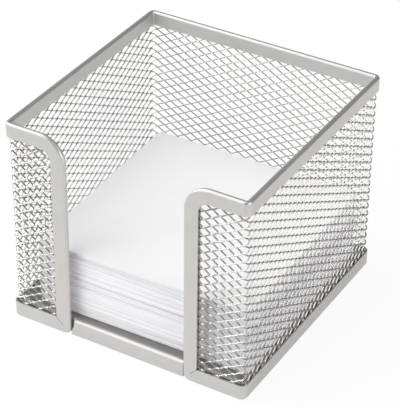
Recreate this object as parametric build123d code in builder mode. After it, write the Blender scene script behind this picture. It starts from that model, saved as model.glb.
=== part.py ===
from build123d import *
import math
import os

# Memo holder: a box of painted expanded metal with folded rims, and a block of loose note sheets.
# Millimetres. The origin is on the table under the middle of the holder, +Z up, the front towards -Y.

# Notes: loose square sheets in bundles, which lie a little askew
NOTE_SIDE = 87.5
SHEET_THICKNESS = 0.1
BUNDLE_SHEETS = (39, 26, 31, 24, 37, 29, 27, 40, 23)
NOTE_PLACE = (2.85, -0.7)
NOTE_TURN = 0.8
BUNDLE_SLIP = 0.2
BUNDLE_TURN = 0.2
SLIP_STEP_X = 1.7
SLIP_STEP_Y = 2.9
TURN_STEP = 2.1

# Mesh: raised expanded metal, with the strands leaning up and outwards
MESH_DEPTH = 0.9
CELL_LENGTH = 6.25
CELL_RISE = 3.45
STRAND = 0.7
STRAND_LEAN = 38.0
BEND_STRAND = 0.3
MESH_ROOM = 0.5
GAP_TIP = 0.05

# Rims: a steel strip folded over the edge of the mesh
STRIP = 0.6
RIM_HEIGHT = 5.8
BASE_RIM_HEIGHT = 6.4
FOLD_RADIUS = 0.95

# The box, with room for the notes inside its rims
NOTE_ROOM = 4.15
HEIGHT = 85.0
CORNER_RADIUS = 2.5

# The finger gap in the front, between two posts
FINGER_GAP = 48.8
WINDOW_RADIUS = 4.7
FOOT_RADIUS = 3.0

# Base plate, with its edges turned down and a tongue towards the finger gap
PLATE_LEVEL = 7.2
PLATE_SHEET = 0.8
PLATE_CORNER = 2.0
PLATE_INNER_BEND = 0.3
PLATE_CLEARANCE = 0.4
LIP_SETBACK = 0.7
LIP_TOP_GAP = 1.6
LIP_SIDE_GAP = 0.2

# Worked out from the sizes above
RIM_THICKNESS = MESH_DEPTH + 2 * STRIP
WIDTH = NOTE_SIDE + 2 * (NOTE_ROOM + RIM_THICKNESS)
DEPTH = WIDTH
SHOULDER_RADIUS = WINDOW_RADIUS + RIM_HEIGHT
WING_START = -WIDTH / 2 + CORNER_RADIUS
WING_END = -FINGER_GAP / 2
POST_INSIDE = WING_END - RIM_HEIGHT
WINDOW_TOP = HEIGHT - RIM_HEIGHT
MESH_INSET = STRIP + MESH_DEPTH
MESH_CLIMB = MESH_DEPTH * math.tan(math.radians(STRAND_LEAN))
MESH_BOTTOM = STRIP + MESH_ROOM
MESH_TOP = HEIGHT - STRIP - MESH_ROOM - MESH_CLIMB
PLATE_BEND = PLATE_SHEET + PLATE_INNER_BEND

os.makedirs("parts", exist_ok=True)


def save(part, name):
    """Labels a finished piece and writes it."""
    part.label = name
    export_step(part, f"parts/{name}.step")


# Folded strips that go round the box in plan

def plan_outline(inset):
    """The box seen from above, drawn in by the given inset."""
    RectangleRounded(WIDTH - 2 * inset, DEPTH - 2 * inset, CORNER_RADIUS - inset)


def plan_hole(inset):
    """The same outline, taken away."""
    RectangleRounded(WIDTH - 2 * inset, DEPTH - 2 * inset, CORNER_RADIUS - inset, mode=Mode.SUBTRACT)


def folded_ring(low, high, groove_low):
    """A folded strip round all four sides, with its groove for the mesh from groove_low on."""
    fold_is_low = groove_low > low
    with BuildPart() as ring:
        with BuildSketch(Plane.XY.offset(low)):
            plan_outline(0)
            plan_hole(RIM_THICKNESS)
        extrude(amount=high - low)
        fold_face = ring.faces().sort_by(Axis.Z)[0 if fold_is_low else -1]
        fillet(fold_face.edges(), FOLD_RADIUS)
        with BuildSketch(Plane.XY.offset(groove_low)):
            plan_outline(STRIP)
            plan_hole(MESH_INSET)
        extrude(amount=high - low - STRIP, mode=Mode.SUBTRACT)
    return ring.part


def side_stretch(ring, corners):
    """The stretch of a ring inside the given corners of a plan outline."""
    with BuildPart() as stretch:
        add(ring)
        with BuildSketch():
            Polygon(*corners, align=None)
        extrude(amount=HEIGHT, mode=Mode.INTERSECT)
    return stretch.part


MITRE = 2 * CORNER_RADIUS
OUT_X = WIDTH / 2
OUT_Y = DEPTH / 2
IN_X = OUT_X - MITRE
IN_Y = OUT_Y - MITRE
STRETCHES = {
    "left": ((-OUT_X, -OUT_Y), (-IN_X, -IN_Y), (-IN_X, IN_Y), (-OUT_X, OUT_Y)),
    "back": ((-OUT_X, OUT_Y), (-IN_X, IN_Y), (IN_X, IN_Y), (OUT_X, OUT_Y)),
    "right": ((OUT_X, OUT_Y), (IN_X, IN_Y), (IN_X, -IN_Y), (OUT_X, -OUT_Y)),
}
WING_CORNER = ((-OUT_X, -OUT_Y), (WING_START, -OUT_Y), (WING_START, -OUT_Y + CORNER_RADIUS))

top_ring = folded_ring(HEIGHT - RIM_HEIGHT, HEIGHT, HEIGHT - RIM_HEIGHT)
base_ring = folded_ring(0, BASE_RIM_HEIGHT, STRIP)
for side, corners in STRETCHES.items():
    save(side_stretch(top_ring, corners), f"top_rim_{side}")
    save(side_stretch(base_ring, corners), f"base_rim_{side}")

# Front wings: the strip turns down through the shoulder and runs down the finger gap

FRONT = Plane.XZ.offset(DEPTH / 2)


def wing_outline(inset, low, top):
    """The left wing seen from the front, from the corner bend to the finger gap, drawn in by inset."""
    end = WING_END - inset
    with BuildLine() as outline:
        FilletPolyline(
            (WING_START, low),
            (end, low),
            (end, top),
            (WING_START, top),
            radius=[FOOT_RADIUS - inset, SHOULDER_RADIUS - inset],
        )
        Line((WING_START, top), (WING_START, low))
    return outline.edges()


def wing_window():
    """The part of the wing that the rims leave open."""
    with BuildLine() as window:
        FilletPolyline(
            (POST_INSIDE, BASE_RIM_HEIGHT),
            (POST_INSIDE, WINDOW_TOP),
            (WING_START, WINDOW_TOP),
            radius=WINDOW_RADIUS,
        )
        Polyline((WING_START, WINDOW_TOP), (WING_START, BASE_RIM_HEIGHT), (POST_INSIDE, BASE_RIM_HEIGHT))
    return window.edges()


with BuildPart() as wing_frame:
    with BuildSketch(FRONT):
        make_face(wing_outline(0, 0, HEIGHT))
    extrude(amount=-RIM_THICKNESS)
    fold_edges = wing_frame.edges().filter_by(Axis.Y, reverse=True)
    fillet(fold_edges.filter_by(lambda edge: edge.center().X > WING_START), FOLD_RADIUS)
    with BuildSketch(FRONT):
        make_face(wing_window())
    extrude(amount=-RIM_THICKNESS, mode=Mode.SUBTRACT)
    with BuildSketch(FRONT.offset(-STRIP)):
        make_face(wing_outline(STRIP, STRIP, HEIGHT - STRIP))
    extrude(amount=-MESH_DEPTH, mode=Mode.SUBTRACT)

# The mitre seam runs from the inner corner of the window through the round foot of the post
FOOT_REACH = FOOT_RADIUS * (1 - math.sqrt(0.5))
SEAM_START = Vector(POST_INSIDE, BASE_RIM_HEIGHT)
SEAM_END = SEAM_START + 2 * (Vector(WING_END - FOOT_REACH, FOOT_REACH) - SEAM_START)
BELOW_SEAM = (
    (WING_START, BASE_RIM_HEIGHT),
    (SEAM_START.X, SEAM_START.Y),
    (SEAM_END.X, SEAM_END.Y),
    (WING_START, SEAM_END.Y),
)


def wing_rim(ring, mode):
    """The part of the left wing's frame below the seam, or above it, with its half of the corner bend."""
    with BuildPart() as rim:
        add(wing_frame.part)
        with BuildSketch(FRONT):
            Polygon(*BELOW_SEAM, align=None)
        extrude(amount=-RIM_THICKNESS, mode=mode)
        add(side_stretch(ring, WING_CORNER))
    return rim.part


for name, ring, mode in (
    ("front_rim", top_ring, Mode.SUBTRACT),
    ("base_rim_wing", base_ring, Mode.INTERSECT),
):
    left_rim = wing_rim(ring, mode)
    save(left_rim, f"{name}_left")
    save(mirror(left_rim, about=Plane.YZ, mode=Mode.PRIVATE), f"{name}_right")

# Mesh: flat stretches as holed sheets whose strands lean up and outwards, and upright bends

INSCRIBED = CELL_LENGTH * CELL_RISE / 2 / math.hypot(CELL_LENGTH, CELL_RISE)
OPEN_SHARE = 1 - STRAND / 2 / INSCRIBED
GAP_REACH = OPEN_SHARE * CELL_LENGTH / 2
GAP_RISE = OPEN_SHARE * CELL_RISE / 2
LEAST_GAP = STRAND / 2


def wall_plane(normal, distance):
    """An upright plane that faces along normal, with its sketch's X level and its Y up."""
    return Plane(origin=normal * distance, x_dir=Vector(0, 0, 1).cross(normal), z_dir=normal)


def gap_wire(u, v, start, end):
    """One diamond gap round (u, v), cut off square where it would pass start or end."""
    west = max(u - GAP_REACH, start)
    east = min(u + GAP_REACH, end)
    stations = sorted({west, min(max(u, west), east), east})
    rises = [GAP_RISE * (1 - abs(x - u) / GAP_REACH) for x in stations]
    upper = [(x, v + rise) for x, rise in zip(stations, rises)]
    lower = [(x, v - rise) for x, rise in zip(stations, rises) if rise > GAP_TIP]
    return Wire.make_polygon(upper + lower[::-1], close=True)


def gap_wires(start, end, low, high):
    """All the gaps of one stretch of mesh, in rows that step half a cell."""
    wires = []
    rows = int((high - low - 2 * GAP_RISE) / (CELL_RISE / 2)) + 1
    reach = math.ceil((end - start) / CELL_LENGTH)
    for row in range(rows):
        v = low + GAP_RISE + row * CELL_RISE / 2
        for column in range(-reach, reach + 1):
            u = (start + end) / 2 + (column + row % 2 / 2) * CELL_LENGTH
            if start + LEAST_GAP - GAP_REACH < u < end - LEAST_GAP + GAP_REACH:
                wires.append(gap_wire(u, v, start, end))
    return wires


def mesh_stretch(plane, outline, start, end):
    """A flat stretch of mesh that fills the outline, with its gaps between start and end."""
    low = BASE_RIM_HEIGHT - CELL_RISE / 2
    high = WINDOW_TOP + CELL_RISE / 2
    net = plane.location * Face(Wire(outline), gap_wires(start + STRAND / 2, end - STRAND / 2, low, high))
    lean = plane.z_dir * MESH_DEPTH + Vector(0, 0, MESH_CLIMB)
    with BuildPart() as stretch:
        extrude(net, amount=lean.length, dir=lean)
    return stretch.part


def wall_outline(reach):
    """The outline of a flat wall of mesh, reach to either side of its middle."""
    return Wire.make_polygon(
        [(-reach, MESH_BOTTOM), (reach, MESH_BOTTOM), (reach, MESH_TOP), (-reach, MESH_TOP)], close=True
    ).edges()


REACH_X = WIDTH / 2 - CORNER_RADIUS
REACH_Y = DEPTH / 2 - CORNER_RADIUS
for side, normal, half, reach in (
    ("left", Vector(-1, 0, 0), WIDTH / 2, REACH_Y),
    ("back", Vector(0, 1, 0), DEPTH / 2, REACH_X),
    ("right", Vector(1, 0, 0), WIDTH / 2, REACH_Y),
):
    plane = wall_plane(normal, half - MESH_INSET)
    save(mesh_stretch(plane, wall_outline(reach), -reach, reach), f"mesh_{side}")

wing_mesh = mesh_stretch(
    FRONT.offset(-MESH_INSET),
    wing_outline(STRIP + MESH_ROOM, MESH_BOTTOM, MESH_TOP),
    WING_START,
    POST_INSIDE + GAP_REACH,
)
save(wing_mesh, "mesh_wing_left")
save(mirror(wing_mesh, about=Plane.YZ, mode=Mode.PRIVATE), "mesh_wing_right")

BEND_ROWS = int((WINDOW_TOP - BASE_RIM_HEIGHT) / CELL_RISE)
BEND_SLOT = (CORNER_RADIUS - MESH_INSET) * math.sqrt(0.5) - BEND_STRAND
for name, x_side, y_side in (
    ("front_left", -1, -1),
    ("back_left", -1, 1),
    ("back_right", 1, 1),
    ("front_right", 1, -1),
):
    corner = Vector(x_side * REACH_X, y_side * REACH_Y)
    slots = Plane(origin=corner, x_dir=(-y_side, x_side, 0), z_dir=(x_side, y_side, 0))
    with BuildPart() as bend:
        with BuildSketch(Plane.XY.offset(MESH_BOTTOM)):
            plan_outline(STRIP)
            plan_hole(MESH_INSET)
            with Locations(corner + Vector(x_side, y_side) * CORNER_RADIUS / 2):
                Rectangle(CORNER_RADIUS, CORNER_RADIUS, mode=Mode.INTERSECT)
        extrude(amount=MESH_TOP - MESH_BOTTOM)
        with BuildSketch(slots):
            with Locations(*[(0, BASE_RIM_HEIGHT + (row + 0.5) * CELL_RISE) for row in range(BEND_ROWS)]):
                Polygon((-BEND_SLOT, 0), (0, GAP_RISE), (BEND_SLOT, 0), (0, -GAP_RISE))
        extrude(amount=CORNER_RADIUS, mode=Mode.SUBTRACT)
    save(bend.part, f"mesh_bend_{name}")

# Base plate: a sheet with its edges turned down inside the base rim, and a tongue with the front lip

LIP_FRONT = -DEPTH / 2 + LIP_SETBACK
LIP_LEFT_TOP = -FINGER_GAP / 2 + LIP_TOP_GAP
LIP_LEFT_LOW = -FINGER_GAP / 2 + LIP_SIDE_GAP
LIP_RIGHT = FINGER_GAP / 2 - LIP_SIDE_GAP
PLATE_FRONT = -DEPTH / 2 + RIM_THICKNESS
TONGUE_ROOT = PLATE_FRONT + PLATE_SHEET + PLATE_BEND
with BuildPart() as base_plate:
    with BuildSketch(Plane.XY.offset(PLATE_CLEARANCE)):
        RectangleRounded(WIDTH - 2 * RIM_THICKNESS, DEPTH - 2 * RIM_THICKNESS, PLATE_CORNER)
    extrude(amount=PLATE_LEVEL - PLATE_CLEARANCE)
    fillet(base_plate.faces().sort_by(Axis.Z)[-1].edges(), PLATE_BEND)
    with BuildSketch(Plane.XY.offset(PLATE_CLEARANCE)):
        RectangleRounded(
            WIDTH - 2 * (RIM_THICKNESS + PLATE_SHEET),
            DEPTH - 2 * (RIM_THICKNESS + PLATE_SHEET),
            PLATE_CORNER - PLATE_SHEET,
        )
    extrude(amount=PLATE_LEVEL - PLATE_SHEET - PLATE_CLEARANCE, mode=Mode.SUBTRACT)
    # The turned-down front edge gives way to the tongue
    with BuildSketch(Plane.XZ.offset(-TONGUE_ROOT)):
        with Locations((LIP_LEFT_TOP, PLATE_LEVEL)):
            Rectangle(LIP_RIGHT - LIP_LEFT_TOP, PLATE_LEVEL, align=(Align.MIN, Align.MAX))
    extrude(amount=TONGUE_ROOT - PLATE_FRONT, mode=Mode.SUBTRACT)
    with BuildSketch(Plane.YZ.offset(LIP_LEFT_TOP)):
        with BuildLine():
            FilletPolyline(
                (TONGUE_ROOT, PLATE_LEVEL),
                (LIP_FRONT, PLATE_LEVEL),
                (LIP_FRONT, PLATE_CLEARANCE),
                radius=PLATE_BEND,
            )
            offset(amount=PLATE_SHEET, side=Side.LEFT)
        make_face()
    extrude(amount=LIP_RIGHT - LIP_LEFT_TOP)
    # The lip widens downwards, towards the left post
    with BuildSketch(Plane.XZ.offset(-LIP_FRONT)):
        Polygon(
            (LIP_LEFT_LOW, PLATE_CLEARANCE),
            (LIP_RIGHT, PLATE_CLEARANCE),
            (LIP_RIGHT, PLATE_LEVEL - PLATE_BEND),
            (LIP_LEFT_TOP, PLATE_LEVEL - PLATE_BEND),
            align=None,
        )
    extrude(amount=-PLATE_SHEET)
save(base_plate.part, "base_plate")

# Notes: bundles of sheets from the plate upwards, and the loose top sheet


def note_block(level, thickness, order):
    """Square sheets from a level upwards, a little askew, each bundle in its own way."""
    x = NOTE_PLACE[0] + BUNDLE_SLIP * math.sin(SLIP_STEP_X * order)
    y = NOTE_PLACE[1] + BUNDLE_SLIP * math.sin(SLIP_STEP_Y * order)
    turn = NOTE_TURN + BUNDLE_TURN * math.sin(TURN_STEP * order)
    with BuildPart() as block:
        with BuildSketch(Plane.XY.offset(level)):
            with Locations((x, y)):
                Rectangle(NOTE_SIDE, NOTE_SIDE, rotation=turn)
        extrude(amount=thickness)
    return block.part


level = PLATE_LEVEL
for number, sheets in enumerate(BUNDLE_SHEETS, start=1):
    save(note_block(level, sheets * SHEET_THICKNESS, number), f"note_bundle_{number}")
    level += sheets * SHEET_THICKNESS
save(note_block(level, SHEET_THICKNESS, len(BUNDLE_SHEETS) + 1), "note_top_sheet")
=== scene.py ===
# %% [markdown]
# # A memo holder of painted expanded metal
# A desk holder for loose note sheets: a box of expanded steel with folded steel rims, an open finger gap
# in its front, a pressed base plate, and a block of white paper inside. The solids come from the packed
# model, in metres, and stay where they are. This script dresses them.

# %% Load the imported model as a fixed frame
import math
import random

import bmesh
import bpy
from mathutils import Matrix, Vector


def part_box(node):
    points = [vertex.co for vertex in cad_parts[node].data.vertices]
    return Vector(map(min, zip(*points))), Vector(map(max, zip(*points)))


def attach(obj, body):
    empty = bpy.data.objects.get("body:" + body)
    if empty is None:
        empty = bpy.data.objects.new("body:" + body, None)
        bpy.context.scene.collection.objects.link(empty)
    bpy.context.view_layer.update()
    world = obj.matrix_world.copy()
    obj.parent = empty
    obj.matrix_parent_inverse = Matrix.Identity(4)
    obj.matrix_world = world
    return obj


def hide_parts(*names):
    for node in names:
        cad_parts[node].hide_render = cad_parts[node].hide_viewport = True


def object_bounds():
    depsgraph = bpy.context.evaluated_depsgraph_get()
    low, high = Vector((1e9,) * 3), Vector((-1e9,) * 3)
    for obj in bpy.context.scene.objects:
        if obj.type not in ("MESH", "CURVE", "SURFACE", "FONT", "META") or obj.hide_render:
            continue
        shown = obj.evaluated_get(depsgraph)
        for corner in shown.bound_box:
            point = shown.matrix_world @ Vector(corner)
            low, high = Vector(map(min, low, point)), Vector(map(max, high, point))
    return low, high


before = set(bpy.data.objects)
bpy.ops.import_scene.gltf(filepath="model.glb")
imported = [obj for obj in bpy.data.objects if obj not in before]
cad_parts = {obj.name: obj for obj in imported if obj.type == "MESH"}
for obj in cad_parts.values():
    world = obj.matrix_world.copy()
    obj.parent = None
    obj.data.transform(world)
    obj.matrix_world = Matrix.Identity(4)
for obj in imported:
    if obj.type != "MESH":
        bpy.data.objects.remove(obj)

cad_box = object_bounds()
print("nodes", len(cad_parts), "box", cad_box)

# %% [markdown]
# Work in millimetres and turn the mesh to metres as the last step, so that the numbers read like the
# object's own sizes. The main sizes could be typed in again, but here they are measured from the solids, so
# the pieces fit without any trial.

# %% Sizes measured from the solids
MM = 0.001
mesh_low, mesh_high = (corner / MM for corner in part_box("mesh_back"))
rim_low, rim_high = (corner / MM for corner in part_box("top_rim_back"))
HEIGHT = cad_box[1].z / MM
FLAT_HALF = mesh_high.x
MESH_MIDDLE = (mesh_low.y + mesh_high.y) / 2
RIM_HEIGHT = rim_high.z - rim_low.z
BASE_RIM_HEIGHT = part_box("base_rim_back")[1].z / MM
GAP_HALF = -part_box("front_rim_left")[1].x / MM
print("height", HEIGHT, "mesh middle", MESH_MIDDLE, "half the finger gap", GAP_HALF)
print("rims", RIM_HEIGHT, BASE_RIM_HEIGHT)

# %% [markdown]
# Every finished piece goes through the same two helpers. The first scales the mesh to metres, gives it its
# finish and links the object at the origin. The second says which body it rides on and which solids it
# stands for.

# %% Helpers that finish a piece


def make_object(bm, name, finish):
    """Makes an object of a bmesh in millimetres."""
    bmesh.ops.scale(bm, vec=(MM, MM, MM), verts=bm.verts)
    mesh = bpy.data.meshes.new(name)
    bm.to_mesh(mesh)
    bm.free()
    mesh.materials.append(finish)
    made = bpy.data.objects.new(name, mesh)
    bpy.context.scene.collection.objects.link(made)
    print(name, "triangles", sum(len(face.vertices) - 2 for face in mesh.polygons))
    return made


def finish_piece(bm, name, body, finish, nodes):
    """Makes an object of a bmesh and hangs it on the frame."""
    piece = make_object(bm, name, finish)
    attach(piece, body)
    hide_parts(*nodes)


# %% [markdown]
# Shader maths could be wired node by node, but it reads best as plain arithmetic. A small class wraps a
# socket, so that `1 - mask` adds the Math node by itself, and one method adds any other node with its
# settings and its inputs.

# %% A socket that takes part in arithmetic


class Wire:
    """One socket of a material's node tree."""

    def __init__(self, tree, socket=None):
        self.tree = tree
        self.socket = socket

    def node(self, kind, settings, inputs, output=0):
        """Adds a node, with its settings first and then the values or links of its sockets."""
        made = self.tree.nodes.new(kind)
        for name, value in settings.items():
            setattr(made, name, value)
        for name, value in inputs.items():
            if isinstance(value, Wire):
                self.tree.links.new(value.socket, made.inputs[name])
            else:
                made.inputs[name].default_value = value
        return Wire(self.tree, made.outputs[output]) if made.outputs else None

    def count(self, operation, first, second):
        """Adds a Math node."""
        return self.node("ShaderNodeMath", {"operation": operation}, {0: first, 1: second})

    def __add__(self, other):
        return self.count("ADD", self, other)

    def __sub__(self, other):
        return self.count("SUBTRACT", self, other)

    def __rsub__(self, other):
        return self.count("SUBTRACT", other, self)

    def __mul__(self, other):
        return self.count("MULTIPLY", self, other)

    def __lt__(self, other):
        return self.count("LESS_THAN", self, other)

    def __gt__(self, other):
        return self.count("GREATER_THAN", self, other)

    def __abs__(self):
        return self.count("ABSOLUTE", self, 0)

    __radd__ = __add__
    __rmul__ = __mul__


# %% [markdown]
# A finish reads the coordinates of its own piece, so that its pattern stays on the piece when that moves.
# It ends in one principled shader. Between the two, a few helpers cover all that this object needs: one
# coordinate, noise, a mask, a blend of two colours, and a bump.

# %% Starting and ending a finish


def start_finish(name):
    """A new material without nodes, and the object coordinates to draw its pattern on."""
    finish = bpy.data.materials.new(name)
    finish.use_nodes = True
    finish.node_tree.nodes.clear()
    place = Wire(finish.node_tree).node("ShaderNodeTexCoord", {}, {}, "Object")
    return finish, place


def axis(place, letter):
    """One coordinate of the place, in metres."""
    return place.node("ShaderNodeSeparateXYZ", {}, {0: place}, letter)


def noise(place, scale, detail=2.0):
    """Even grey noise round 0.5, with spots of about 1 / scale metres."""
    return place.node("ShaderNodeTexNoise", {}, {"Vector": place, "Scale": scale, "Detail": detail}, "Fac")


def ramp(place, value, start, end):
    """A mask that goes from 0 at the start value to 1 at the end value."""
    return place.node("ShaderNodeMapRange", {}, {"Value": value, "From Min": start, "From Max": end})


def tone(place, mask, first, second):
    """A colour between two, by a mask from 0 to 1. Each is three numbers or a wire."""
    a, b = (end if isinstance(end, Wire) else (*end, 1) for end in (first, second))
    return place.node("ShaderNodeMix", {"data_type": "RGBA"}, {"Factor": mask, "A": a, "B": b}, "Result")


def grain(place, height, strength, depth):
    """A bump from a height map."""
    return place.node(
        "ShaderNodeBump", {}, {"Strength": strength, "Distance": depth, "Height": height}, "Normal"
    )


def end_finish(place, sockets):
    """A principled shader with these sockets, as the surface."""
    shader = place.node("ShaderNodeBsdfPrincipled", {}, sockets, "BSDF")
    place.node("ShaderNodeOutputMaterial", {}, {"Surface": shader})


# %% [markdown]
# The steel is painted silver: fine aluminium flakes in a satin lacquer. One even grey metal would look like
# plastic up close. So the paint is mostly metallic with a broad gloss, and it has a fine flake speckle and
# the faint orange peel of sprayed paint. The scale of a noise counts its spots in a metre. A mask can lay a
# darker colour on it, for the rims' dark seams and for painted shade on the base plate.

# %% Silver paint
FLAKES = 9000.0
CLOUDS = 140.0
PEEL = 1600.0
PEEL_DEPTH = 0.1 * MM


def silver_paint(name, dark, light, metallic, roughness, dark_marks=None):
    """A silver paint between two tones of its flakes, with a seam's dark colour or painted shade where a
    mask says so.
    """
    finish, place = start_finish(name)
    flakes = noise(place, FLAKES)
    clouds = noise(place, CLOUDS)
    peel = noise(place, PEEL)
    colour = tone(place, flakes * 0.6 + clouds * 0.4, dark, light)
    if dark_marks:
        mask, mark_colour = dark_marks(place)
        colour = tone(place, mask, colour, mark_colour)
    end_finish(
        place,
        {
            "Base Color": colour,
            "Metallic": metallic,
            "Roughness": flakes * 0.08 + clouds * 0.06 + roughness,
            "Normal": grain(place, peel, 0.06, PEEL_DEPTH),
        },
    )
    print(name)
    return finish


bright_silver = {
    "dark": (0.49, 0.477, 0.46),
    "light": (0.61, 0.597, 0.58),
    "metallic": 0.9,
    "roughness": 0.19,
}
mesh_paint = silver_paint("mesh_paint", **bright_silver)

# %% [markdown]
# The rims and the base plate share one duller paint, and each has its own mask. On the rims it is a dark
# mitred seam, a line of 45 degrees at the foot of each front post. On the base plate it is painted shade:
# the inside of the plate is painted darker behind the front lip, where it lies in shade.

# %% Dull silver paint with seams or painted shade
SEAM_START = (GAP_HALF + RIM_HEIGHT - BASE_RIM_HEIGHT) * MM
SEAM_EDGE = 0.18 * MM
SEAM_CORE = 0.08 * MM
SEAM_FOOT = (3.5 * MM, 3.9 * MM)
SEAM_BLACK = (0.02, 0.02, 0.02)
FRONT_ONLY = -40 * MM
# Painted shade: the base plate turns darker from the front lip backwards, between these two places along y.
PLATE_SHADE_EDGE = (-48.4 * MM, -47.4 * MM)
PLATE_SHADE_GREY = (0.32, 0.31, 0.30)


def seams(place):
    """The mask and the colour of the two mitred seams."""
    x, y, z = (axis(place, letter) for letter in "XYZ")
    line = ramp(place, abs(abs(x) - z - SEAM_START), SEAM_EDGE, SEAM_CORE)
    return line * ramp(place, z, *SEAM_FOOT) * (y < FRONT_ONLY), SEAM_BLACK


def plate_shade(place):
    """The mask and the colour of the painted shade on the inside of the base plate, behind the front lip."""
    return ramp(place, axis(place, "Y"), *PLATE_SHADE_EDGE), PLATE_SHADE_GREY


dull_silver = {
    "dark": (0.515, 0.50, 0.487),
    "light": (0.62, 0.605, 0.592),
    "metallic": 0.8,
    "roughness": 0.36,
}
rim_paint = silver_paint("rim_paint", **dull_silver, dark_marks=seams)
plate_paint_and_shade = silver_paint("plate_paint_and_shade", **dull_silver, dark_marks=plate_shade)

# %% [markdown]
# The notes are smooth white copy paper. Up close it has a faint cloudy fibre pattern and no gloss. A picture
# of paper could be wrapped round it, but noise needs no file and has no seams. A stack also shows thin grey
# lines on its cut faces: partly the sheets' own tone, partly painted shade of the gaps between them. They
# depend on the height alone, so they run all the way round, and the open top sheet goes without them.

# %% White paper
FIBRES = 2500.0
FIBRE_DEPTH = 0.05 * MM
PAPER_CLOUDS = 60.0
PAPER_WHITES = ((0.90, 0.90, 0.915), (0.95, 0.95, 0.96))
# The grey lines on the cut faces are partly the sheets' own tone, partly painted shade of the gaps between
# them.
LAYERS = 1100.0
LINE_WAVE = 0.3 * MM
LINE_RAMP = (0.55, 0.38)
LINE_TONE_AND_SHADE = (0.74, 0.73, 0.79)


def white_paper(name, lines):
    """White paper, with so much of the grey lines, part tone and part painted shade, that a stack shows on
    its cut faces.
    """
    finish, place = start_finish(name)
    fibres = noise(place, FIBRES, 4.0)
    clouds = noise(place, PAPER_CLOUDS)
    height = axis(place, "Z") + clouds * LINE_WAVE
    layers = place.node(
        "ShaderNodeTexNoise",
        {"noise_dimensions": "1D"},
        {"W": height, "Scale": LAYERS, "Detail": 3.0},
        "Fac",
    )
    grey = ramp(place, layers, *LINE_RAMP) * lines
    white = tone(place, fibres * 0.5 + clouds * 0.5, *PAPER_WHITES)
    end_finish(
        place,
        {
            "Base Color": tone(place, grey, white, LINE_TONE_AND_SHADE),
            "Roughness": fibres * 0.1 + 0.75,
            "Normal": grain(place, fibres, 0.05, FIBRE_DEPTH),
        },
    )
    print(name)
    return finish


paper = white_paper("white_paper", 0.0)
cut_paper = white_paper("cut_paper", 0.7)

# %% [markdown]
# Expanded metal is one steel sheet, slit in rows and pulled open. Each strip between two rows of slits
# becomes a zigzag strand, and neighbouring strips stay joined at the bonds. Pulling also tips the strands,
# so that they lean up and outwards here. A flat plate with a see-through pattern would be quicker, but it
# has no lean and no thickness, and those make the bright and dark rows. So one strand is a ring that is
# extruded through one zigzag, and the sheet is that zigzag repeated along and up.

# %% One zigzag of a strand
CELL_LENGTH = 6.25
CELL_RISE = 3.45
STRAND_WIDTH = 0.40
STEEL = 0.62
LEAN = math.radians(56)
BOND = 0.8
OVERLAP = 0.06
ROUNDED = 0.1
across = Vector((0, math.cos(LEAN), math.sin(LEAN)))
through = Vector((0, math.sin(LEAN), -math.cos(LEAN)))
valley = across * (STRAND_WIDTH - OVERLAP) / 2
peak = Vector((0, 0, CELL_RISE / 2)) - valley
STATIONS = (
    (0, valley),
    (BOND / 2, valley),
    (CELL_LENGTH / 2 - BOND / 2, peak),
    (CELL_LENGTH / 2 + BOND / 2, peak),
    (CELL_LENGTH - BOND / 2, valley),
    (CELL_LENGTH, valley),
)


def zigzag(bm, start):
    """One zigzag of a strand from a start point: a rounded ring, extruded from station to station."""
    corners = bmesh.ops.create_grid(bm, x_segments=1, y_segments=1, size=0.5)["verts"]
    bmesh.ops.scale(bm, vec=(STEEL, STRAND_WIDTH, 1), verts=corners)
    ring = bmesh.ops.bevel(
        bm, geom=corners, offset=ROUNDED, affect="VERTICES", segments=1, profile=0.5, material=-1
    )["verts"]
    stand = Matrix((through, across, Vector((1, 0, 0)))).transposed().to_4x4()
    bmesh.ops.transform(bm, matrix=Matrix.Translation(start + valley) @ stand, verts=ring)
    edges = list({edge for vert in ring for edge in vert.link_edges})
    bmesh.ops.delete(bm, geom=ring[0].link_faces[:], context="FACES_ONLY")
    for (u, shift), (next_u, next_shift) in zip(STATIONS, STATIONS[1:]):
        grown = bmesh.ops.extrude_edge_only(bm, edges=edges)["geom"]
        moved = [part for part in grown if isinstance(part, bmesh.types.BMVert)]
        edges = [part for part in grown if isinstance(part, bmesh.types.BMEdge)]
        bmesh.ops.translate(bm, vec=Vector((next_u - u, 0, 0)) + next_shift - shift, verts=moved)


print("strand", STRAND_WIDTH, "by", STEEL, "in cells of", CELL_LENGTH, "by", CELL_RISE)

# %% [markdown]
# A zigzag becomes a sheet by repeating and cutting. An array modifier could repeat it, but the spin operator
# also works inside the bmesh: with a step and no angle, it makes copies in a straight row. A bisecting plane
# cuts.

# %% Repeating and cutting


def all_of(bm):
    """Everything in a bmesh, as most of its operators ask for."""
    return bm.verts[:] + bm.edges[:] + bm.faces[:]


def repeat(bm, step, times):
    """Repeats all of a bmesh in a row."""
    bmesh.ops.spin(
        bm,
        geom=all_of(bm),
        cent=(0, 0, 0),
        axis=(0, 0, 1),
        dvec=step,
        angle=0,
        steps=times - 1,
        use_duplicate=True,
    )


def slice_off(bm, point, normal):
    """Cuts a bmesh at a plane and drops what lies on the normal's side."""
    bmesh.ops.bisect_plane(bm, geom=all_of(bm), plane_co=point, plane_no=normal, clear_outer=True)


# %% [markdown]
# A flat stretch of the sheet is two zigzags, half a cell apart, repeated along and then up. It is cut to
# size a little inside the folds of the rims.

# %% A flat stretch of the sheet
SHEET_LOW = 3.0
RIM_HOLD = 2.6
SHEET_HIGH = HEIGHT - RIM_HOLD
SPARE = 1
ROWS = math.ceil((SHEET_HIGH - SHEET_LOW) / CELL_RISE) + 2 * SPARE
WELD = 0.001


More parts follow.
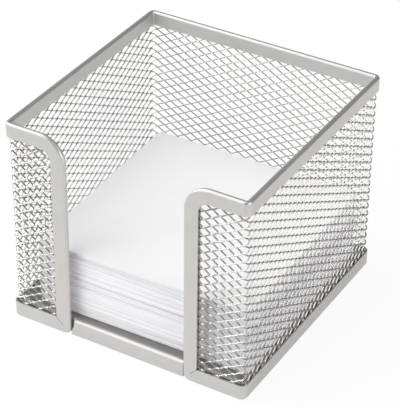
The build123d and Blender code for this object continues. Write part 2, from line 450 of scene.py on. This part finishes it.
def flat_sheet(start, end):
    """A flat stretch from start to end along the way round. Spare cells at its ends are cut away."""
    first = math.floor(start / CELL_LENGTH) - SPARE
    times = math.ceil(end / CELL_LENGTH) + SPARE - first
    bm = bmesh.new()
    for row in (0, 1):
        zigzag(bm, Vector(((first + row / 2) * CELL_LENGTH, 0, SHEET_LOW + (row / 2 - SPARE) * CELL_RISE)))
    repeat(bm, (CELL_LENGTH, 0, 0), times)
    bmesh.ops.remove_doubles(bm, verts=bm.verts, dist=WELD)
    repeat(bm, (0, 0, CELL_RISE), ROWS)
    slice_off(bm, (start, 0, 0), (-1, 0, 0))
    slice_off(bm, (end, 0, 0), (1, 0, 0))
    slice_off(bm, (0, 0, SHEET_LOW), (0, 0, -1))
    slice_off(bm, (0, 0, SHEET_HIGH), (0, 0, 1))
    return bm


print("rows", ROWS, "from", SHEET_LOW, "to", SHEET_HIGH)

# %% [markdown]
# The real sheet is one strip that is bent round the box, so the strands run on round the corners. Four flat
# walls would be simpler, but they would show open ends there. So the sheet is bent here too: a point's place
# along it becomes its place on the way round, and its height above it becomes its distance outwards.

# %% The way round the box
BEND_RADIUS = MESH_MIDDLE - FLAT_HALF
BEND_LENGTH = BEND_RADIUS * math.pi / 2
WALL = 2 * FLAT_HALF
BACK_BEND_END = FLAT_HALF + BEND_LENGTH
WALL_END = BACK_BEND_END + WALL
FRONT_BEND_END = WALL_END + BEND_LENGTH


def way_round(point):
    """Bends a flat point (along, outwards, up) round the box. The middle of the back wall is at 0."""
    side = 1 if point.x >= 0 else -1
    along = abs(point.x)
    reach = BEND_RADIUS + point.y
    if along <= FLAT_HALF:
        x, y = along, FLAT_HALF + reach
    elif along <= BACK_BEND_END:
        turn = (along - FLAT_HALF) / BEND_RADIUS
        x, y = FLAT_HALF + reach * math.sin(turn), FLAT_HALF + reach * math.cos(turn)
    elif along <= WALL_END:
        x, y = FLAT_HALF + reach, FLAT_HALF - (along - BACK_BEND_END)
    elif along <= FRONT_BEND_END:
        turn = (along - WALL_END) / BEND_RADIUS
        x, y = FLAT_HALF + reach * math.cos(turn), -FLAT_HALF - reach * math.sin(turn)
    else:
        x, y = FLAT_HALF - (along - FRONT_BEND_END), -FLAT_HALF - reach
    return Vector((side * x, y, point.z))


print("bend radius", BEND_RADIUS, "way from the back to each front corner", FRONT_BEND_END)

# %% [markdown]
# A strand can only bend where it has edges. So the cut ends of the strands are closed, and each corner is
# scored with a few rows of edges across the sheet. Then all the points move to the way round.

# %% Bending a stretch
BEND_CUTS = 5
SIDE_BEND = FLAT_HALF + BEND_LENGTH / 2
FRONT_BEND = WALL_END + BEND_LENGTH / 2


def score(bm, u):
    """Adds a row of edges across the sheet, so that it can bend there."""
    bmesh.ops.bisect_plane(bm, geom=all_of(bm), plane_co=(u, 0, 0), plane_no=(1, 0, 0))


def bend_sheet(bm, name, nodes):
    """Closes the cut strands, bends the stretch round the box and finishes it."""
    open_edges = [edge for edge in bm.edges if edge.is_boundary]
    bmesh.ops.holes_fill(bm, edges=open_edges, sides=0)
    for bend in (SIDE_BEND, FRONT_BEND):
        for cut in range(BEND_CUTS + 1):
            u = bend + (cut / BEND_CUTS - 0.5) * BEND_LENGTH
            score(bm, u)
            score(bm, -u)
    for vert in bm.verts:
        vert.co = way_round(vert.co)
    bmesh.ops.recalc_face_normals(bm, faces=bm.faces)
    finish_piece(bm, name, "holder", mesh_paint, nodes)


print("bends at", SIDE_BEND, FRONT_BEND)

# %% [markdown]
# The back, left and right walls are three stretches of the strip. The strip could be one piece, but in
# stretches it follows the solids that it stands for. Each ends in the middle of a bend, where the cut
# strands of two stretches meet.

# %% The walls of expanded metal
for name, start, end, nodes in (
    ("expanded_back", -SIDE_BEND, SIDE_BEND, ("mesh_back", "mesh_bend_back_left")),
    ("expanded_left", -FRONT_BEND, -SIDE_BEND, ("mesh_left", "mesh_bend_front_left")),
    ("expanded_right", SIDE_BEND, FRONT_BEND, ("mesh_right", "mesh_bend_back_right")),
):
    bend_sheet(flat_sheet(start, end), name, nodes)

# %% [markdown]
# The front wings are the ends of the same sheet. Their free corner is round, to fit inside the round
# shoulder of the rim. A boolean cut could do that, but a few more planes are enough, because the rim hides
# the cut.

# %% The front wings of expanded metal
POST_HOLD = 2.3
SHOULDER_RADIUS = 10.5
SHOULDER_CUTS = (18, 36, 54, 72)
WING_END = FRONT_BEND_END + FLAT_HALF - GAP_HALF
for name, side, nodes in (
    ("expanded_wing_left", -1, ("mesh_wing_left",)),
    ("expanded_wing_right", 1, ("mesh_wing_right", "mesh_bend_front_right")),
):
    wing = flat_sheet(*sorted((side * FRONT_BEND, side * (WING_END - POST_HOLD))))
    centre = Vector((side * (WING_END - SHOULDER_RADIUS), 0, HEIGHT - SHOULDER_RADIUS))
    for degrees in SHOULDER_CUTS:
        angle = math.radians(degrees)
        outwards = Vector((side * math.cos(angle), 0, math.sin(angle)))
        slice_off(wing, centre + outwards * (SHOULDER_RADIUS - RIM_HOLD), outwards)
    bend_sheet(wing, name, nodes)

# %% [markdown]
# The rims and the base plate could be modelled again here, but their solids already have the folds, the
# round shoulders and the seams. They only take the paint.

# %% Paint on the rims and the base plate
painted = {name: node for name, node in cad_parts.items() if "rim" in name or name == "base_plate"}
for name, node in painted.items():
    node.data.materials.clear()
    node.data.materials.append(plate_paint_and_shade if name == "base_plate" else rim_paint)
print("painted", len(painted))

# %% [markdown]
# The note block is nearly 280 loose sheets. One block with painted lines would have straight edges, so each
# sheet is a thin slab of its own, with a hair of air to the next.

# %% One sheet of paper
NOTE_SIDE = 87.5
NOTE_THICKNESS = 0.1
NOTE_GAP = 0.012


def lay_sheet(bm, level, place, turn):
    """One thin square sheet, turned a little in its place."""
    verts = bmesh.ops.create_cube(bm, size=1.0)["verts"]
    size = Matrix.Diagonal((NOTE_SIDE, NOTE_SIDE, NOTE_THICKNESS - NOTE_GAP, 1))
    lie = Matrix.Translation((place.x, place.y, level + NOTE_THICKNESS / 2))
    bmesh.ops.transform(bm, matrix=lie @ Matrix.Rotation(math.radians(turn), 4, "Z") @ size, verts=verts)


print("sheet", NOTE_SIDE, "by", NOTE_THICKNESS)

# %% [markdown]
# The bundles lie askew, just as their solids do. A table of places would do, but the sine of a bundle's
# number gives each one its own small slip and turn.

# %% How the bundles lie
NOTE_PLACE = Vector((2.85, -0.7))
NOTE_TURN = 0.8
SLIP = 0.2
SLIP_STEPS = (1.7, 2.9)
TURN_STEP = 2.1


def askew(number):
    """The place and the turn of a bundle."""
    slip = Vector([math.sin(step * number) for step in SLIP_STEPS]) * SLIP
    return NOTE_PLACE + slip, NOTE_TURN + SLIP * math.sin(TURN_STEP * number)


print("first bundle at", *askew(1))

# %% [markdown]
# Inside a bundle most sheets follow the one below, and now and then one steps aside. The chance has a fixed
# seed, so that every run makes the same stack.

# %% The bundles of notes
BUNDLES = 9
ASIDE_SHARE = 0.12
ASIDE = (0.3, 0.4)
STRAY = (0.03, 0.03)
chance = random.Random(5)


def anywhere(reach):
    """A chance step of at most this reach along x and y."""
    return Vector([chance.uniform(-most, most) for most in reach])


def note_bundle(number):
    """All the sheets of one bundle."""
    low, high = (corner.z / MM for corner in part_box(f"note_bundle_{number}"))
    place, turn = askew(number)
    aside = Vector((0, 0))
    bm = bmesh.new()
    for sheet in range(round((high - low) / NOTE_THICKNESS)):
        if chance.random() < ASIDE_SHARE:
            aside = anywhere(ASIDE)
        lay_sheet(bm, low + sheet * NOTE_THICKNESS, place + aside + anywhere(STRAY), turn)
    finish_piece(bm, f"notes_{number}", "note_block", cut_paper, (f"note_bundle_{number}",))


for number in range(1, BUNDLES + 1):
    note_bundle(number)

# %% [markdown]
# The top sheet lies loose on the block and can be lifted off alone, so it is a piece of its own on its own
# body. It lies as one more bundle would.

# %% The loose top sheet
bm = bmesh.new()
lay_sheet(bm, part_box("note_top_sheet")[0].z / MM, *askew(BUNDLES + 1))
finish_piece(bm, "top_note", "top_sheet", paper, ("note_top_sheet",))

# %% [markdown]
# The studio is a white cove, which is a floor that curves up into a low wall all round. The camera sees it
# white, with a little of its own shading kept for the shadow. The paint sees more of that shading, and for
# the paint the floor also darkens with distance, because a bright metal only looks like metal when it has
# something dark to reflect.

# %% The finish of the cove
KEPT_WHITE = 0.9
SHINY_WHITE = 0.5
DARK_START = 0.28
DARK_END = 0.65
PALE = (0.95, 0.95, 0.95)
GREY = (0.22, 0.22, 0.22)
cove_finish, place = start_finish("white_cove")
distance = place.node("ShaderNodeVectorMath", {"operation": "LENGTH"}, {0: place}, "Value")
far = place.node(
    "ShaderNodeMapRange",
    {"interpolation_type": "SMOOTHSTEP"},
    {"Value": distance, "From Min": DARK_START, "From Max": DARK_END},
)
seen, shiny, passed = (
    place.node("ShaderNodeLightPath", {}, {}, f"Is {ray} Ray")
    for ray in ("Camera", "Glossy", "Transmission")
)
lit = place.node("ShaderNodeBsdfDiffuse", {}, {"Color": tone(place, far, PALE, GREY)})
shown = tone(place, far * (1 - seen), (1, 1, 1), GREY)
white = place.node("ShaderNodeEmission", {}, {"Color": shown, "Strength": 1.0})
kept = (seen + passed) * KEPT_WHITE + shiny * SHINY_WHITE
mixed = place.node("ShaderNodeMixShader", {}, {"Fac": kept, 1: lit, 2: white})
place.node("ShaderNodeOutputMaterial", {}, {"Surface": mixed})
print("white_cove keeps", KEPT_WHITE, "of its white for the camera and", SHINY_WHITE, "for gloss")

# %% [markdown]
# A plane and a backdrop would leave a seam where they meet. So the cove is spun from one profile: a straight
# line for the floor, spun at its end into a curve, and then all of it spun once round the middle.

# %% The cove itself
COVE_RADIUS = 1300.0
COVE_WALL = 60.0
COVE_CURVE = math.radians(80)
CURVE_STEPS = 10
ROUND_STEPS = 72
COVE_WELD = 0.01
bm = bmesh.new()
profile = [bm.verts.new((x, 0, 0)) for x in (0, COVE_RADIUS - COVE_WALL)]
bm.edges.new(profile)
bmesh.ops.spin(
    bm,
    geom=[profile[1]],
    cent=(COVE_RADIUS - COVE_WALL, 0, COVE_WALL),
    axis=(0, -1, 0),
    angle=COVE_CURVE,
    steps=CURVE_STEPS,
)
bmesh.ops.spin(
    bm,
    geom=bm.verts[:] + bm.edges[:],
    cent=(0, 0, 0),
    axis=(0, 0, 1),
    angle=math.tau,
    steps=ROUND_STEPS,
    use_merge=True,
)
bmesh.ops.remove_doubles(bm, verts=bm.verts, dist=COVE_WELD)
bmesh.ops.recalc_face_normals(bm, faces=bm.faces)
cove = make_object(bm, "white_cove", cove_finish)

# %% [markdown]
# Light: five softboxes and a dim grey sky. One large lamp would light it all, but every strand would look
# the same. The large key stands high on the left. Each strand mirrors one spot of the room, so the small
# lamps stand where the strands that should shine mirror to: low on the left for the rising strands of the
# front wings, and high on the right for the steep stripes of the right wall. A low one on the right reaches
# the notes through the mesh, and one at the front lifts their cut faces. The gaps between the lamps leave
# the other strands grey.

# %% The lamps
LIT_POINT = Vector((0, 0, 0.04))


def softbox(name, place, size, power):
    """A square area lamp that faces the middle of the holder, with its place and size in metres."""
    lamp = bpy.data.lights.new(name, "AREA")
    lamp.size = size
    lamp.energy = power
    stand = bpy.data.objects.new(name, lamp)
    stand.location = place
    stand.rotation_euler = (LIT_POINT - stand.location).to_track_quat("-Z", "Y").to_euler()
    bpy.context.scene.collection.objects.link(stand)
    print("lamp", name, power, "W")


softbox("left", Vector((-0.72, -0.32, 1.03)), 1.6, 16.8)
softbox("left_low", Vector((-1.12, -0.06, 0.59)), 0.45, 7.0)
softbox("right_high", Vector((0.80, 0.07, 1.06)), 0.7, 2.7)
softbox("right_low", Vector((1.26, -0.27, 0.18)), 0.7, 12.0)
softbox("front", Vector((-0.54, -1.17, 0.22)), 0.9, 6.6)

# %% [markdown]
# The sky fills the shadows with a little even light. The standard view shows the colours as they are, so
# that white paper stays white, where a film curve would grey it.

# %% The sky
SKY = 0.17
world = bpy.data.worlds.new("grey_sky")
world.use_nodes = True
world.node_tree.nodes["Background"].inputs["Color"].default_value = (1, 1, 1, 1)
world.node_tree.nodes["Background"].inputs["Strength"].default_value = SKY
bpy.context.scene.world = world
bpy.context.scene.view_settings.view_transform = "Standard"
print("sky", SKY)

# %% [markdown]
# The camera stands high in front and to the right, with a long lens. It could be placed by eye, but its
# angles were measured from the photograph's vanishing lines, so the render lies over it.

# %% The camera
AZIMUTH = math.radians(30.25)
ELEVATION = math.radians(33.99)
ROLL = math.radians(0.58)
AIM = Vector((1.865, 0.0, 39.75)) * MM
DISTANCE = 696.25 * MM
SENSOR = 36.0
LENS = 164.56
back = Vector(
    (
        math.sin(AZIMUTH) * math.cos(ELEVATION),
        -math.cos(AZIMUTH) * math.cos(ELEVATION),
        math.sin(ELEVATION),
    )
)
level_right = Vector((math.cos(AZIMUTH), math.sin(AZIMUTH), 0))
level_up = back.cross(level_right)
right = math.cos(ROLL) * level_right + math.sin(ROLL) * level_up
up = back.cross(right)
lens = bpy.data.cameras.new("camera")
lens.sensor_width = SENSOR
lens.lens = LENS
camera = bpy.data.objects.new("camera", lens)
turned = Matrix((right, up, back)).transposed().to_4x4()
camera.matrix_world = Matrix.Translation(AIM + DISTANCE * back) @ turned
bpy.context.scene.collection.objects.link(camera)
bpy.context.scene.camera = camera
print("camera at", camera.matrix_world.translation)
